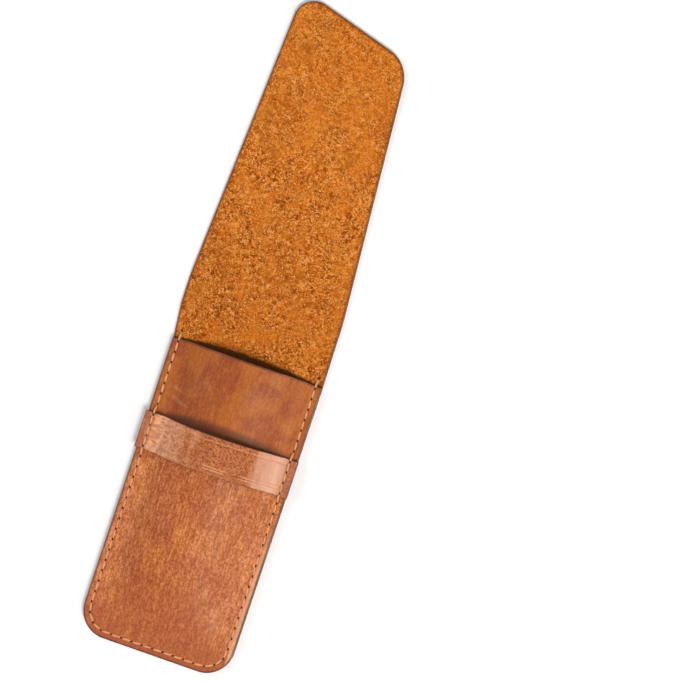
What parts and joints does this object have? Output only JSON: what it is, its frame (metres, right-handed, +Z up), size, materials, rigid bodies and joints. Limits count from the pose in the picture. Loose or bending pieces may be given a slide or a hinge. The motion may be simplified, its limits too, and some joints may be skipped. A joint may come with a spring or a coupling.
{
  "type": "pen case",
  "caption": "Leather pen case with a sewn pocket, a keeper band across its front and a long tapered flap that folds over the mouth.",
  "frame": {"origin": "centre of the open case's footprint, on the surface it lies on", "axes": "+X across the case to its right, +Y along it from the bottom seam towards the flap's tip, +Z up, out of the pocket's front"},
  "size_m": [0.0745, 0.3049, 0.0196],
  "materials": {
    "grain_leather": "waxed pull-up grain side, semi-matt, tan brown with lighter pulled areas",
    "flesh_leather": "flesh side seen, short orange-brown nap, matt; grain side below",
    "thread": "waxed polyester or linen sewing thread, light orange"
  },
  "bodies": {
    "case": {"back_panel": "flesh_leather", "front_panel": "grain_leather", "keeper_band": "grain_leather", "seam_thread": "thread"},
    "spine": {"flap_spine": "flesh_leather"},
    "tongue": {"flap_tongue": "flesh_leather"}
  },
  "joints": [
    {"name": "mouth_fold", "type": "hinge", "parent": "case", "child": "spine", "pos_m": [0, -0.0045, 0.0018], "axis": [1, 0, 0], "range_deg": [0, 90]},
    {"name": "top_fold", "type": "hinge", "parent": "spine", "child": "tongue", "pos_m": [0, 0.0143, 0.0018], "axis": [1, 0, 0], "range_deg": [0, 90]}
  ]
}
